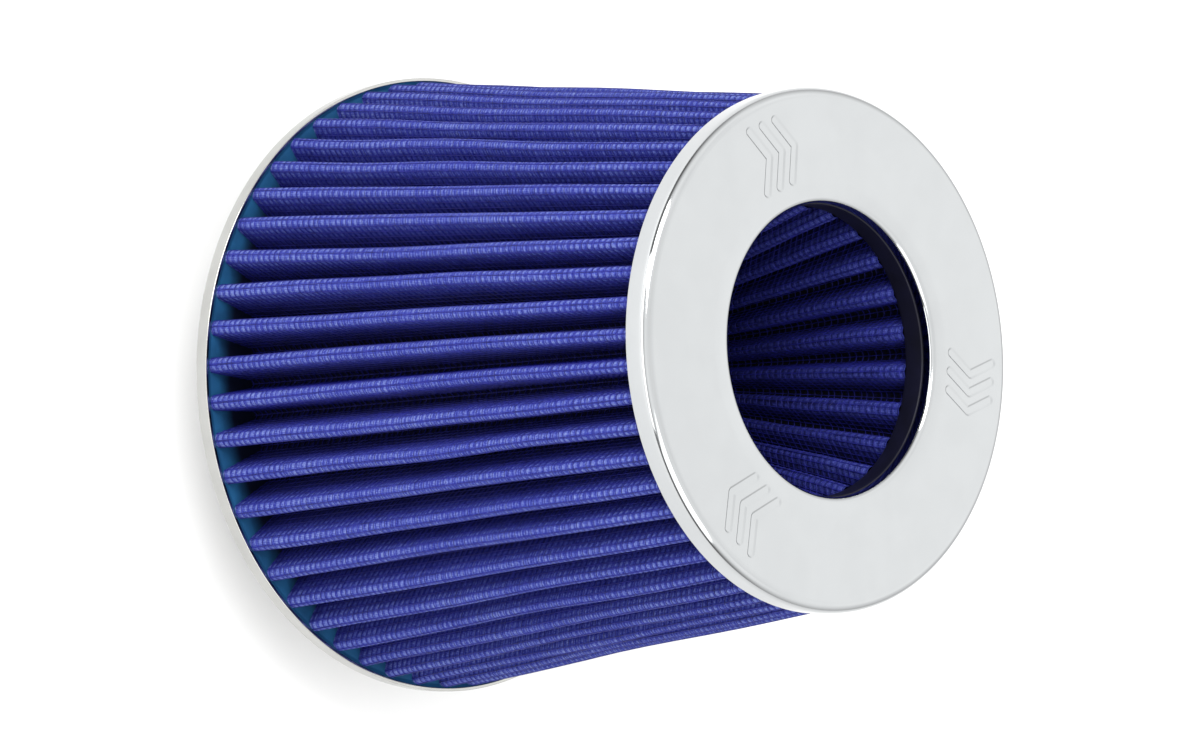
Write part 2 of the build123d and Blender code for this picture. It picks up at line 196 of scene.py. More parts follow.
metals = {name: makeMetal(name) for name in metalLooks}

# cap: stamped ring, rolled lip, three groups of pressed chevrons
capSizes = {
    "opening": 32.0, "sheet": 0.8, "corner": 2.2, "lip": 1.4, "lipDepth": 3.0, "edge": 0.3, "dish": 0.12,
    "dishReach": 4.5, "dishCurve": 12.0, "markCount": 3, "markStart": 80.0, "markSpread": 3.5,
    "markLength": 9.0, "markWidth": 1.4, "markGap": 4.2, "markLean": 28.0, "markDepth": 0.25,
    "markFlare": 1.8,
}


def makeCap():
    s = capSizes
    inside = capRadius - s["sheet"]
    under = capFace - s["sheet"]
    lipOuter = s["opening"] + s["sheet"]
    corners = [
        (s["opening"], capFace - s["dish"], s["lip"]),
        (s["opening"] + s["dishReach"], capFace, s["dishCurve"]),
        (capRadius - s["corner"] - s["edge"], capFace, 0),
        (capRadius, capFace, s["corner"]),
        (capRadius, rimLow, s["edge"]),
        (inside, rimLow, s["edge"]),
        (inside, under, s["corner"] - s["sheet"]),
        (lipOuter, under, s["lip"] - s["sheet"]),
        (lipOuter, capFace - s["lipDepth"], s["edge"]),
        (s["opening"], capFace - s["lipDepth"], s["edge"]),
    ]
    return latheMesh("cap", corners, steps=10, around=256)


def makeMarkCutters():
    s = capSizes
    bm = bmesh.new()
    middle = (s["opening"] + capRadius) / 2
    for group in range(s["markCount"]):
        turn = Matrix.Rotation(math.radians(s["markStart"] + 360 * group / s["markCount"]), 4, "Z")
        for row in (-1, 0, 1):
            for side in (-1, 1):
                spot = turn @ Matrix.Translation((middle * mm, row * s["markGap"] * mm, 0))
                spot = spot @ Matrix.Translation((side * s["markSpread"] * mm, 0, 0))
                spot = spot @ Matrix.Rotation(math.radians(side * s["markLean"]), 4, "Z")
                made = bmesh.ops.create_circle(bm, cap_ends=True, segments=24, radius=s["markWidth"] / 2 * mm)
                half = (s["markLength"] - s["markWidth"]) / 2 * mm
                for vert in made["verts"]:
                    vert.co.x += half if vert.co.x > 0 else -half
                    vert.co.z = (capFace - s["markDepth"]) * mm
                floor = made["verts"][0].link_faces[0]
                walls = bmesh.ops.extrude_face_region(bm, geom=[floor])
                top = [v for v in walls["geom"] if isinstance(v, bmesh.types.BMVert)]
                # the pressed walls lean outwards, so the mouth is wider than the floor
                for vert in top:
                    length = math.copysign(half, vert.co.x)
                    vert.co.x = length + (vert.co.x - length) * s["markFlare"]
                    vert.co.y *= s["markFlare"]
                    vert.co.z = (capFace + s["markDepth"] * 0.2) * mm
                bmesh.ops.transform(bm, matrix=spot, verts=made["verts"] + top)
    return meshFrom(bm, "markCutters", 10)


def cutWith(piece, cutterMesh):
    cutter = bpy.data.objects.new("cutter", cutterMesh)
    scene.collection.objects.link(cutter)
    boolean = piece.modifiers.new("marks", "BOOLEAN")
    boolean.operation = "DIFFERENCE"
    boolean.solver = "EXACT"
    boolean.use_self = True
    boolean.object = cutter
    graph = bpy.context.evaluated_depsgraph_get()
    cutMesh = bpy.data.meshes.new_from_object(piece.evaluated_get(graph))
    piece.modifiers.clear()
    piece.data = cutMesh
    cutMesh.set_sharp_from_angle(angle=math.radians(20))
    bpy.data.objects.remove(cutter)


capPiece = makePiece("capShell", makeCap(), metals["chromePlatedSteel"], "filter", "cap")
cutWith(capPiece, makeMarkCutters())
print("cap made")

# base pan: stamped plate with a rim band
panSizes = {"sheet": 0.8, "corner": 1.2, "flat": 0.3, "hole": 42.0, "edge": 0.2, "insideEdge": 0.15,
            "insideCorner": 0.4}
panInside, panFloor = panRadius - panSizes["sheet"], panRear + panSizes["sheet"]
panMesh = latheMesh("basePan", [
    (panSizes["hole"], panRear, 0),
    (panRadius - panSizes["corner"] - panSizes["flat"], panRear, 0),
    (panRadius, panRear, panSizes["corner"]),
    (panRadius, panRim, panSizes["edge"]),
    (panInside, panRim, panSizes["insideEdge"]),
    (panInside, panFloor, panSizes["insideCorner"]),
    (panSizes["hole"], panFloor, 0),
], steps=8, around=256)
makePiece("basePanShell", panMesh, metals["chromePlatedPan"], "filter", "base_pan")


# cast urethane: a satin skin, slightly uneven where it was poured
def makeUrethane(name, look):
    material, tree, shader = newMaterial(name, Roughness=look["roughness"], Specular_IOR_Level=0.25)
    place = addNode(tree, "ShaderNodeTexCoord").outputs["Object"]
    cloud = addNode(tree, "ShaderNodeTexNoise", {"Vector": place, "Scale": 1 / (look["cloudMm"] * mm),
                                                 "Detail": 4.0})
    grain = addNode(tree, "ShaderNodeTexNoise", {"Vector": place, "Scale": 1 / (look["grainMm"] * mm),
                                                 "Detail": 3.0})
    colour = addNode(tree, "ShaderNodeValToRGB", {"Fac": cloud.outputs["Fac"]},
                     [(0.3, look["deep"]), (0.75, look["pale"])]).outputs["Color"]
    if "unshadedRadius" in look:
        # painted shade: the pour is darkened between the pleats towards the axis, where their shadow falls,
        # and only its outer edge keeps its own colour
        flat = addNode(tree, "ShaderNodeVectorMath", {0: place, 1: (1, 1, 0)}, operation="MULTIPLY")
        radius = addNode(tree, "ShaderNodeVectorMath", {0: flat.outputs[0]}, operation="LENGTH")
        radius = addNode(tree, "ShaderNodeMath", {0: cloud.outputs["Fac"], 1: look["shadeEdgeMm"] * mm,
                                                  2: radius.outputs["Value"]}, operation="MULTIPLY_ADD")
        unshaded = addNode(tree, "ShaderNodeMapRange", {
            "Value": radius.outputs[0], "From Min": look["shadedRadius"] * mm,
            "From Max": look["unshadedRadius"] * mm})
        colour = addNode(tree, "ShaderNodeMix", {0: unshaded.outputs["Result"], 6: linearColour(look["pleatShade"]),
                                                 7: colour}, data_type="RGBA").outputs[2]
    tree.links.new(colour, shader.inputs["Base Color"])
    bump = addNode(tree, "ShaderNodeBump", {"Height": grain.outputs["Fac"], "Strength": 0.5,
                                            "Distance": look["grainDeepMm"] * mm})
    tree.links.new(bump.outputs["Normal"], shader.inputs["Normal"])
    return material


darkLook = {"deep": "#060612", "pale": "#0c0c1f", "roughness": 0.5, "cloudMm": 7.0, "grainMm": 0.8,
            "grainDeepMm": 0.05}
# the darker inner colour and the two radii paint the shade that the pleats cast on the pour
blueLook = dict(darkLook, deep="#163d60", pale="#1e5078", roughness=0.42, pleatShade="#0b1024", shadedRadius=66.5,
                unshadedRadius=70.0, shadeEdgeMm=2.0)
baseUrethane = makeUrethane("blueUrethane", blueLook)
darkUrethane = makeUrethane("navyUrethane", darkLook)

# the two poured rings. Each stands a hair clear of the metal that it was poured against
sealSizes = {
    "flange": 50.0, "overhang": 0.2, "step": 42.55, "lipDepth": 3.0, "skirt": 4.2, "shoulder": 1.4,
    "top": 0.6, "baseClear": 0.05, "capClear": 0.02, "creep": 0.5, "creepReach": 0.9, "baseEdge": 0.8,
    "flangeRise": 0.2, "innerEdge": 0.5, "lipCorner": 0.9, "lipEdge": 0.35,
}
baseTop = baseSealHigh[2] / mm
baseOuter = panInside - sealSizes["baseClear"]
baseMesh = latheMesh("baseSeal", [
    (sealSizes["flange"], panFloor, 0),
    (baseOuter, panFloor, panSizes["insideCorner"]),
    (baseOuter, baseTop + sealSizes["creep"], 0),
    (panInside - sealSizes["creepReach"], baseTop, sealSizes["baseEdge"]),
    (sealSizes["flange"] + sealSizes["baseEdge"], baseTop, sealSizes["innerEdge"]),
    (sealSizes["flange"], baseTop + sealSizes["flangeRise"], 0),
], steps=5, around=192)
makePiece("baseSealPour", baseMesh, baseUrethane, "filter", "base_seal")

sealLow, sealHigh = capSealLow[2] / mm, capSealHigh[2] / mm
sealInside = capSizes["opening"] - sealSizes["overhang"]
sealOuter = capRadius - capSizes["sheet"] - sealSizes["capClear"]
lipOuter = capSizes["opening"] + capSizes["sheet"]
lipEnd = capFace - sealSizes["lipDepth"] - sealSizes["capClear"]
sealMesh = latheMesh("capSeal", [
    (sealInside, sealLow, sealSizes["lipCorner"]),
    (sealSizes["step"], sealLow, capSizes["edge"]),
    (sealSizes["step"], sealHigh - sealSizes["skirt"], capSizes["edge"]),
    (sealOuter, sealHigh - sealSizes["skirt"], 0),
    (sealOuter, sealHigh - sealSizes["shoulder"], 0),
    (sealOuter - sealSizes["shoulder"], sealHigh, 0),
    (lipOuter + sealSizes["top"], sealHigh, 0),
    (lipOuter, sealHigh - sealSizes["top"], 0),
    (lipOuter, lipEnd, 0),
    (sealInside, lipEnd, sealSizes["lipEdge"]),
], steps=6, around=192)
makePiece("capSealRing", sealMesh, darkUrethane, "filter", "cap_seal")
print("seals made")

# the two pleated cones: woven cotton gauze between epoxy-coated wire screens
# side is 1 where the crests that show point away from the axis, and -1 where they point towards it
outerCone = {
    "pleats": 52, "crest": 72.15, "depth": 13.0, "crestWidth": 3.4, "valleyWidth": 1.6, "side": 1,
    "low": outerLow[2] / mm, "high": outerHigh[2] / mm, "lowScale": 1.0, "highScale": 56.1 / 72.15,
    "turn": 90 + 180 / 52, "wander": 0.75, "sag": 0.3, "wiresPerPleat": 14, "wireStep": 1.65,
}
innerCone = {
    "pleats": 23, "crest": 40.7, "depth": 8.1, "crestWidth": 5.0, "valleyWidth": 1.0, "side": -1,
    "low": innerLow[2] / mm, "high": innerHigh[2] / mm, "lowScale": 0.4825, "highScale": 1.0,
    "turn": 90, "wander": 0.5, "sag": 0.2, "wiresPerPleat": 12, "wireStep": 1.65,
}
# each screen's and the gauze's depth in the pack, from the side that shows on the outer cone
screenSizes = {"wireRadius": 0.12, "outerDepth": 0.13, "gauzeDepth": 0.15, "backDepth": 1.35,
               "packDepth": 1.4, "ringStray": 0.12}
gauzeSteps = (5, 3, 3)  # how finely a pleat's crest, legs and valley are drawn


def pleatCorner(cone, offset):
    halfTurn = cmath.exp(1j * math.pi / cone["pleats"])
    crest, valley = cone["crest"], cone["crest"] - cone["depth"]
    crestCorner = crest + 1j * cone["crestWidth"] / 2
    valleyCorner = halfTurn * (valley - 1j * cone["valleyWidth"] / 2)
    along = (valleyCorner - crestCorner) / abs(valleyCorner - crestCorner)
    outward = -1j * along
    start = crestCorner + offset * outward
    reach = (crest + offset - start.real) / along.real
    end = (valleyCorner + offset * outward) / halfTurn
    turned = along / halfTurn
    back = (valley + offset - end.real) / turned.real
    return start + reach * along, (end + back * turned) * halfTurn


def roundCorner(before, here, after, reach, steps):
    inward = (before - here) / abs(before - here)
    onward = (after - here) / abs(after - here)
    angle = abs(cmath.phase(onward / inward))
    radius = reach * math.tan(angle / 2)
    middle = here + (inward + onward) / abs(inward + onward) * radius / math.sin(angle / 2)
    first = here + inward * reach - middle
    turn = cmath.phase((here + onward * reach - middle) / first)
    return [middle + first * cmath.exp(1j * turn * step / steps) for step in range(steps + 1)]


def pleatPath(cone, offset, crestSteps, legSteps, valleySteps):
    # one pleat from the middle of a valley over its crest to the middle of the next, at the cone's full scale
    halfTurn = cmath.exp(1j * math.pi / cone["pleats"])
    crestCorner, valleyCorner = pleatCorner(cone, offset)
    valleyMiddle = halfTurn * (valleyCorner / halfTurn).real
    corners = [valleyMiddle.conjugate(), valleyCorner.conjugate(), crestCorner.conjugate(),
               crestCorner, valleyCorner, valleyMiddle]
    valleyReach = abs(valleyCorner - valleyMiddle) * 0.95
    crestReach = abs(crestCorner.imag) * 0.97
    path = [corners[0]]
    path += roundCorner(*corners[0:3], valleyReach, valleySteps)
    crestStart = roundCorner(*corners[1:4], crestReach, crestSteps)
    path += [path[-1] + (crestStart[0] - path[-1]) * step / legSteps for step in range(1, legSteps)]
    path += crestStart
    back = [p.conjugate() for p in reversed(path)]
    return path + back[1:] if abs(path[-1] - back[0]) < 1e-6 else path + back


def wanderTable(cone):
    # each pleat strays a little to one side and another along its length, as hand-set pleats do
    return [[chance.uniform(-1, 1) for _ in range(5)] for _ in range(cone["pleats"])]


def wanderAt(cone, table, pleat, share):
    a, b, c, d, e = table[pleat % cone["pleats"]]
    ends = math.sin(math.pi * min(max(share, 0), 1)) ** 0.5
    wave = a * 0.6 + b * 0.5 * math.sin(math.pi * 2 * share + c * 3)
    wave += d * 0.25 * math.sin(math.pi * 5 * share + e * 3)
    return cone["wander"] * ends * wave, cone["sag"] * ends * (1 + math.sin(math.pi * 3 * share + a * 4 + d))


def conePoint(cone, table, pleat, place, height):
    share = (height - cone["low"]) / (cone["high"] - cone["low"])
    scale = cone["lowScale"] + (cone["highScale"] - cone["lowScale"]) * share
    reach = max(0, min(1, (abs(place) - cone["crest"] + cone["depth"]) / cone["depth"]))
    top = reach if cone["side"] > 0 else 1 - reach
    stray, sag = wanderAt(cone, table, pleat, share)
    spin = cmath.exp(1j * (math.radians(cone["turn"]) + 2 * math.pi * pleat / cone["pleats"]))
    point = (place + (1j * stray - cone["side"] * sag) * top * top) * scale * spin
    return point.real * mm, point.imag * mm, height * mm


def lengthsAlong(path):
    lengths = [0.0]
    for before, after in zip(path, path[1:]):
        lengths.append(lengths[-1] + abs(after - before))
    return lengths


def pathAt(path, lengths, want):
    for index in range(1, len(path)):
        if lengths[index] >= want:
            span = lengths[index] - lengths[index - 1]
            share = (want - lengths[index - 1]) / span if span > 0 else 0
            return path[index - 1] + (path[index] - path[index - 1]) * share
    return path[-1]


def makeGauze(name, cone, table, offset, rows, sink):
    path = pleatPath(cone, offset, *gauzeSteps)
    lengths = lengthsAlong(path)
    columns = (len(path) - 1) * cone["pleats"]
    lowest, highest = cone["low"] - sink, cone["high"] + sink
    slope = abs((cone["highScale"] - cone["lowScale"]) * cone["crest"] / (cone["high"] - cone["low"]))
    slant = math.hypot(1, slope)
    bm = bmesh.new()
    bmesh.ops.create_grid(bm, x_segments=columns, y_segments=rows, size=0.5)
    cut = bm.loops.layers.uv.new("Cut")
    crestLayer = bm.verts.layers.float.new("crest")
    for vert in bm.verts:
        column = round((vert.co.x + 0.5) * columns)
        row = round((vert.co.y + 0.5) * rows)
        pleat, step = divmod(column, len(path) - 1)
        height = lowest + (highest - lowest) * row / rows
        near = abs(path[step])
        reach = (near - cone["crest"] + cone["depth"]) / cone["depth"]
        vert[crestLayer] = reach if cone["side"] > 0 else 1 - reach
        vert.co = conePoint(cone, table, pleat, path[step], height)
        vert.index = row * (columns + 1) + column
    flat = {}
    for vert in bm.verts:
        row, column = divmod(vert.index, columns + 1)
        pleat, step = divmod(column, len(path) - 1)
        flat[vert.index] = ((pleat * lengths[-1] + lengths[step]) * mm,
                            (highest - lowest) * row / rows * slant * mm)
    for face in bm.faces:
        for loop in face.loops:
            loop[cut].uv = flat[loop.vert.index]
    length, width = cone["pleats"] * lengths[-1] * mm, (highest - lowest) * slant * mm
    bmesh.ops.remove_doubles(bm, verts=[v for v in bm.verts if v.is_boundary], dist=1e-6)
    for face in bm.faces:
        face.smooth = True
    mesh = bpy.data.meshes.new(name)
    bm.to_mesh(mesh)
    bm.free()
    # the cone and its pleats shrink together, so the cut narrows from the wide end to the narrow one
    return mesh, (width, length), width * length * (cone["lowScale"] + cone["highScale"]) / 2


def makeWires(name, splines, radius):
    curve = bpy.data.curves.new(name, "CURVE")
    curve.dimensions = "3D"
    curve.bevel_depth = radius * mm
    curve.bevel_resolution = 0
    curve.use_fill_caps = True
    for points, closed in splines:
        spline = curve.splines.new("POLY")
        spline.points.add(len(points) - 1)
        spline.points.foreach_set("co", [value for point in points for value in (*point, 1.0)])
        spline.use_cyclic_u = closed
    holder = bpy.data.objects.new(name, curve)
    scene.collection.objects.link(holder)
    graph = bpy.context.evaluated_depsgraph_get()
    mesh = bpy.data.meshes.new_from_object(holder.evaluated_get(graph))
    bpy.data.objects.remove(holder)
    for polygon in mesh.polygons:
        polygon.use_smooth = True
    return mesh


def ringWires(cone, table, offset, lowest, highest, crestSteps, legSteps, valleySteps):
    path = pleatPath(cone, offset, crestSteps, legSteps, valleySteps)
    slope = (cone["highScale"] - cone["lowScale"]) * cone["crest"] / (cone["high"] - cone["low"])
    count = round((highest - lowest) * math.hypot(1, slope) / cone["wireStep"])
    step = (highest - lowest) / count  # spaced evenly, so that one band carries on from the next
    splines = []
    for ring in range(count):
        height = lowest + step * (ring + 0.5) + chance.uniform(-1, 1) * screenSizes["ringStray"]
        phase = chance.uniform(0, 6)
        points = []
        for pleat in range(cone["pleats"]):
            turned = 2 * math.pi * pleat / cone["pleats"]
            stray = math.sin(5 * turned + phase) + math.sin(11 * turned - 2 * phase)
            level = min(max(height + screenSizes["ringStray"] * stray, cone["low"]), cone["high"])
            points += [conePoint(cone, table, pleat, place, level) for place in path[:-1]]
        splines.append((points, True))
    return splines


def lengthWires(cone, table, offset, rows):
    path = pleatPath(cone, offset, *gauzeSteps)
    lengths = lengthsAlong(path)
    splines = []
    for pleat in range(cone["pleats"]):
        for wire in range(cone["wiresPerPleat"]):
            place = pathAt(path, lengths, lengths[-1] * wire / cone["wiresPerPleat"])
            heights = [cone["low"] + (cone["high"] - cone["low"]) * row / rows for row in range(rows + 1)]
            splines.append(([conePoint(cone, table, pleat, place, height) for height in heights], False))
    return splines


outerTable, innerTable = wanderTable(outerCone), wanderTable(innerCone)


# woven cotton gauze, dyed blue and soaked in filter oil: soft broken threads that puff out between the wires,
# with painted shade that darkens them towards the valleys. The real threads are 0.2 mm apart and are drawn
# twice as coarse to show.
gauzeLook = {
    "deep": "#060618", "body": "#161966", "bright": "#343c86", "pale": "#6470a2", "sheen": "#8890dc",
    "pullMm": 2.6, "warpMm": 0.35, "threadMm": 0.42, "puffMm": 0.17, "lintMm": 0.9, "frayMm": 0.4,
    "patchMm": 14.0,
    # the puff's tone is a painted highlight in the middle of each cell of the screen; threads, lint, fray and
    # patch are the cloth's own uneven tone
    "tones": {"puff": 0.34, "threads": 0.2, "lint": 0.44, "fray": 0.46, "patch": 0.24},
    "heights": {"threads": 0.25, "lint": 0.9, "fray": 0.6},
    # valleyTone, legTone and crestTone set the painted shade by depth in the pleat, and narrowTone the
    # painted shade towards the narrow end
    "puffPower": 0.6, "valleyTone": -0.3, "legTone": -0.48, "crestTone": -0.14, "narrowTone": -0.35,
}
# a darker copy of the gauze's colours for the inner cone: painted shade inside the filter
shadedInnerGauzeLook = dict(gauzeLook, deep="#030308", body="#0c0d3c", bright="#22286c", pale="#454d90")


def makeGauzeMaterial(name, cellWide, cellTall, look, dimBelow=0.0, dimTo=0.0):
    material, tree, shader = newMaterial(name, Roughness=0.85, Specular_IOR_Level=0.08, Sheen_Weight=0.05,
                                         Sheen_Roughness=0.5, Sheen_Tint=linearColour(look["sheen"]))
    place = addNode(tree, "ShaderNodeTexCoord").outputs["Object"]
    cut = addNode(tree, "ShaderNodeUVMap", uv_map="Cut").outputs["UV"]
    clouds = {}
    for cloud, detail in (("pull", 2.0), ("lint", 4.0), ("fray", 1.0), ("patch", 2.0)):
        clouds[cloud] = addNode(tree, "ShaderNodeTexNoise", {
            "Vector": place, "Scale": 1 / (look[cloud + "Mm"] * mm), "Detail": detail, "Roughness": 0.7})
    # the weave is pulled about a little, so that no two cells are alike
    pulled = addNode(tree, "ShaderNodeVectorMath", {0: clouds["pull"].outputs["Color"], 1: (0.5, 0.5, 0.5)},
                     operation="SUBTRACT")
    pulled = addNode(tree, "ShaderNodeVectorMath", {0: pulled.outputs[0], 1: (look["warpMm"] * mm,) * 3,
                                                    2: cut}, operation="MULTIPLY_ADD")
    split = addNode(tree, "ShaderNodeSeparateXYZ", {"Vector": pulled.outputs[0]})
    # the weave's signals: a puff of cotton in each cell of the screen, then the threads themselves
    signals = {cloud: clouds[cloud].outputs["Fac"] for cloud in ("lint", "fray", "patch")}
    for signal, wide, tall in (("puff", cellWide, cellTall), ("threads", look["threadMm"], look["threadMm"])):
        waves = {}
        for axis, sizeMm in (("X", wide), ("Y", tall)):
            turns = addNode(tree, "ShaderNodeMath", {0: split.outputs[axis], 1: math.pi / (sizeMm * mm)},
                            operation="MULTIPLY")
            wave = addNode(tree, "ShaderNodeMath", {0: turns.outputs[0]}, operation="SINE")
            wave = addNode(tree, "ShaderNodeMath", {0: wave.outputs[0]}, operation="ABSOLUTE")
            waves[axis] = wave.outputs[0]
        weave = addNode(tree, "ShaderNodeMath", {0: waves["X"], 1: waves["Y"]}, operation="MULTIPLY")
        signals[signal] = weave.outputs[0]
    signals["puff"] = addNode(tree, "ShaderNodeMath", {0: signals["puff"], 1: look["puffPower"]},
                              operation="POWER").outputs[0]

    # painted shade: tone is darkest in the valleys, dark on the legs and lightest on the crests, standing in
    # for the shade deep in the pleats
    crest = addNode(tree, "ShaderNodeAttribute", attribute_name="crest").outputs["Fac"]
    valleyTone = addNode(tree, "ShaderNodeMapRange", {"Value": crest, "From Min": 0.0, "From Max": 0.55,
                                                      "To Min": look["valleyTone"], "To Max": 0.0})
    crestTone = addNode(tree, "ShaderNodeMapRange", {"Value": crest, "From Min": 0.5, "From Max": 0.97,
                                                     "To Min": look["legTone"], "To Max": look["crestTone"]})
    tone = addNode(tree, "ShaderNodeMath", {0: crestTone.outputs["Result"], 1: valleyTone.outputs["Result"]},
                   operation="ADD").outputs[0]
    # the puff signal paints a highlight in the middle of each cell
    for signal, share in look["tones"].items():
        tone = addNode(tree, "ShaderNodeMath", {0: signals[signal], 1: share, 2: tone},
                       operation="MULTIPLY_ADD").outputs[0]
    if dimTo:
        # painted shade: darker towards the narrow end, deep inside the cone
        high = addNode(tree, "ShaderNodeSeparateXYZ", {"Vector": place}).outputs["Z"]
        dim = addNode(tree, "ShaderNodeMapRange", {
            "Value": high, "From Min": dimBelow * mm, "From Max": dimTo * mm, "To Min": look["narrowTone"],
            "To Max": 0.0})
        tone = addNode(tree, "ShaderNodeMath", {0: tone, 1: dim.outputs["Result"]},
                       operation="ADD").outputs[0]
    colour = addNode(tree, "ShaderNodeValToRGB", {"Fac": tone}, [
        (0.1, look["deep"]), (0.42, look["body"]), (0.7, look["bright"]), (0.98, look["pale"])])
    tree.links.new(colour.outputs["Color"], shader.inputs["Base Color"])
    height = signals["puff"]
    for signal, share in look["heights"].items():
        height = addNode(tree, "ShaderNodeMath", {0: signals[signal], 1: share, 2: height},
                         operation="MULTIPLY_ADD").outputs[0]
    bump = addNode(tree, "ShaderNodeBump", {"Height": height, "Strength": 1.0,
                                            "Distance": look["puffMm"] * mm})
    tree.links.new(bump.outputs["Normal"], shader.inputs["Normal"])
    return material


def cellWidth(cone, offset):
    return lengthsAlong(pleatPath(cone, offset, *gauzeSteps))[-1] / cone["wiresPerPleat"]


outerGauzeOffset = -screenSizes["gauzeDepth"]
innerGauzeOffset = screenSizes["gauzeDepth"] - screenSizes["packDepth"]
outerGauze = makeGauzeMaterial("blueCottonGauze", cellWidth(outerCone, outerGauzeOffset),
                               outerCone["wireStep"], gauzeLook)
innerGauze = makeGauzeMaterial("blueCottonGauzeInnerShaded", cellWidth(innerCone, innerGauzeOffset),
                               innerCone["wireStep"], shadedInnerGauzeLook, innerCone["low"], innerCone["high"])

# epoxy-coated aluminium wire: navy, smooth, with a dull gleam
wireLook = {"deep": "#0e1052", "pale": "#1a1d78", "roughness": 0.5, "cloudMm": 2.0}
epoxyWire, wireTree, wireShader = newMaterial("epoxyCoatedWire", Roughness=wireLook["roughness"],
                                              Specular_IOR_Level=0.25)
wirePlace = addNode(wireTree, "ShaderNodeTexCoord").outputs["Object"]
wireNoise = addNode(wireTree, "ShaderNodeTexNoise", {
    "Vector": wirePlace, "Scale": 1 / (wireLook["cloudMm"] * mm), "Detail": 2.0})
wireColour = addNode(wireTree, "ShaderNodeValToRGB", {"Fac": wireNoise.outputs["Fac"]},
                     [(0.3, wireLook["deep"]), (0.7, wireLook["pale"])])
wireTree.links.new(wireColour.outputs["Color"], wireShader.inputs["Base Color"])

# rows is how many times the sheet bends along the cone, and sink how far its ends run into the seals in mm
gauzeSheets = {
    "outerGauzeSheet": {
        "cone": outerCone, "table": outerTable, "offset": outerGauzeOffset, "rows": 36, "sink": 0.6,
        "material": outerGauze, "node": "outer_gauze", "rests": ["base_seal", "cap_seal"]},
    "innerGauzeSheet": {
        "cone": innerCone, "table": innerTable, "offset": innerGauzeOffset, "rows": 24, "sink": 0.5,
        "material": innerGauze, "node": "inner_gauze", "rests": ["cap_seal", "end_seal"]},
}
for name, sheet in gauzeSheets.items():
    gauzeMesh, gauzeFlat, gauzeArea = makeGauze(name, sheet["cone"], sheet["table"], sheet["offset"],
                                                sheet["rows"], sheet["sink"])
    gauzePiece = makePiece(name, gauzeMesh, sheet["material"], "filter", sheet["node"])
    print(name, len(gauzeMesh.polygons), gauzeFlat)

# the screens' cross wires, in bands so that no one piece grows too heavy, and then the wires along the pleats
outerScreenOffset, outerBackOffset = -screenSizes["outerDepth"], -screenSizes["backDepth"]
innerScreenOffset = screenSizes["outerDepth"] - screenSizes["packDepth"]
innerBackOffset = screenSizes["backDepth"] - screenSizes["packDepth"]
for name, cone, table, offset, bands, steps, node in (
        ("outerScreenRings", outerCone, outerTable, outerScreenOffset, 3, (3, 1, 1), "outer_screen"),
        ("outerBackingRings", outerCone, outerTable, outerBackOffset, 2, (1, 1, 1), "outer_backing"),
        ("innerScreenRings", innerCone, innerTable, innerScreenOffset, 1, (3, 2, 3), "inner_screen"),
        ("innerBackingRings", innerCone, innerTable, innerBackOffset, 1, (2, 1, 1), "inner_backing")):
    tall = (cone["high"] - cone["low"]) / bands
    for band in range(bands):
        lowest = cone["low"] + tall * band
        rings = ringWires(cone, table, offset, lowest, lowest + tall, *steps)
        wires = makeWires(name, rings, screenSizes["wireRadius"])
        makePiece(f"{name}{band + 1}", wires, epoxyWire, "filter", node)
        print(name, band + 1, sum(len(polygon.vertices) - 2 for polygon in wires.polygons), "triangles")
for name, cone, table, offset, rows, node in (
        ("outerScreenLengths", outerCone, outerTable, outerScreenOffset, 12, "outer_screen"),
        ("innerScreenLengths", innerCone, innerTable, innerScreenOffset, 8, "inner_screen")):
    wires = makeWires(name, lengthWires(cone, table, offset, rows), screenSizes["wireRadius"])
    makePiece(name, wires, epoxyWire, "filter", node)
    print(name, sum(len(polygon.vertices) - 2 for polygon in wires.polygons), "triangles")
print("screens made")

# moulded rubber neck: matt black with a fine moulded grain. A thick lip at its end, a groove for the clamp, a
# shoulder under the pan and a flange that the base seal is poured round
neckSizes = {"bore": 38.1, "mouth": 39.1, "lip": 43.2, "lipTall": 2.5, "groove": 42.0, "grooveLow": 3.7,
             "grooveHigh": 21.5, "shoulder": 47.0, "shoulderLow": 22.5, "bevel": 1.0, "flange": 50.0,
             "panHole": 42.02, "small": 0.4, "soft": 0.8, "mouthEdge": 0.3, "lipEdge": 0.5,
             "shoulderEdge": 0.7}
grooveTop = neckSizes["grooveHigh"] + neckSizes["bevel"]
neckLook = {"deep": "#161617", "pale": "#222224", "roughness": 0.62, "grainMm": 0.6, "grainDeepMm": 0.08}
neckRubber, neckTree, neckShader = newMaterial("mouldedRubber", Roughness=neckLook["roughness"])
neckPlace = addNode(neckTree, "ShaderNodeTexCoord").outputs["Object"]
neckGrain = addNode(neckTree, "ShaderNodeTexNoise", {
    "Vector": neckPlace, "Scale": 1 / (neckLook["grainMm"] * mm), "Detail": 4.0})
neckColour = addNode(neckTree, "ShaderNodeValToRGB", {"Fac": neckGrain.outputs["Fac"]},
                     [(0.3, neckLook["deep"]), (0.7, neckLook["pale"])])
neckTree.links.new(neckColour.outputs["Color"], neckShader.inputs["Base Color"])
neckBump = addNode(neckTree, "ShaderNodeBump", {"Height": neckGrain.outputs["Fac"], "Strength": 0.5,
                                                "Distance": neckLook["grainDeepMm"] * mm})
neckTree.links.new(neckBump.outputs["Normal"], neckShader.inputs["Normal"])
